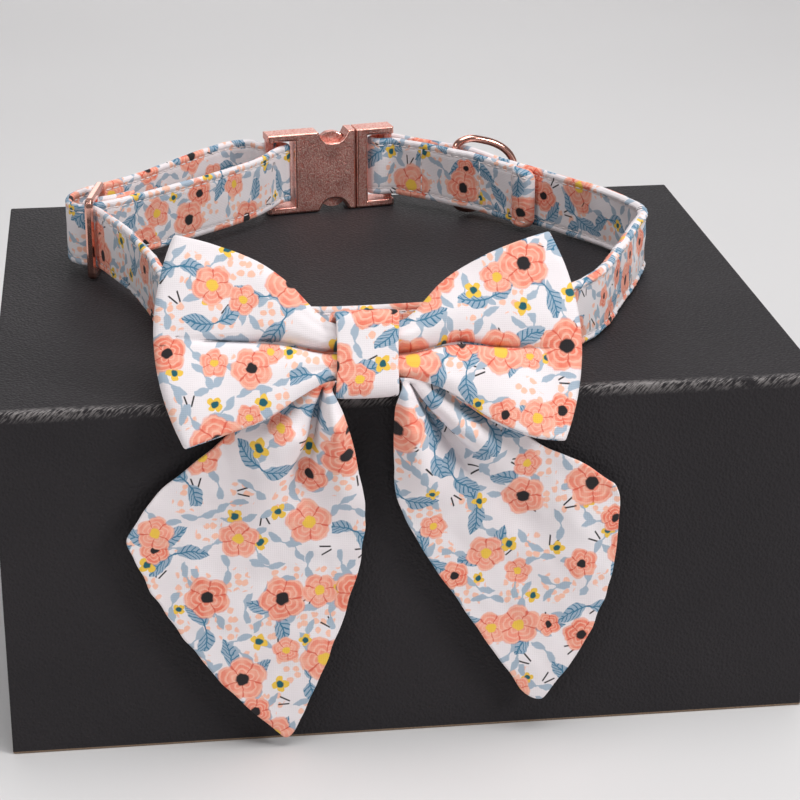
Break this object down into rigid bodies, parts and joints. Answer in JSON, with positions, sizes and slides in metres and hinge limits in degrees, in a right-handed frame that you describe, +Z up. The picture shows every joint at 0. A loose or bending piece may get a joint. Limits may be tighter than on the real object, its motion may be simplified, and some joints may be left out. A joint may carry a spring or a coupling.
{
  "type": "pet bow tie collar on a display box",
  "caption": "Printed cotton pet collar with a large bow tie, a metal side-release buckle, a slider and a lead ring, standing on a plain black display box",
  "frame": {"origin": "middle of the whole object's outline on the surface that the display box stands on", "axes": "+X runs to the right along the long side of the box, +Y from the bow at the front to the buckle at the back, +Z up"},
  "size_m": [0.232, 0.2099, 0.1482],
  "materials": {
    "cotton_print": "plain-woven cotton with a small printed floral pattern, sewn and pressed",
    "rose_gold": "cast zinc alloy plated rose gold, satin faces with polished edges",
    "black_card": "grey board wrapped in black leather-grain paper, worn along its edges"
  },
  "bodies": {
    "collar": {"strap": "cotton_print", "buckle_female": "rose_gold", "buckle_male": "rose_gold", "slider": "rose_gold", "bow_loops": "cotton_print", "bow_knot": "cotton_print", "tail_left": "cotton_print", "tail_right": "cotton_print", "display_box": "black_card"},
    "lead_ring": {"d_ring": "rose_gold"}
  },
  "joints": [
    {"name": "d_ring_swing", "type": "hinge", "parent": "collar", "child": "lead_ring", "pos_m": [0.0365, 0.0776, 0.1191], "axis": [0, 0, 1], "range_deg": [-15, 95]}
  ]
}
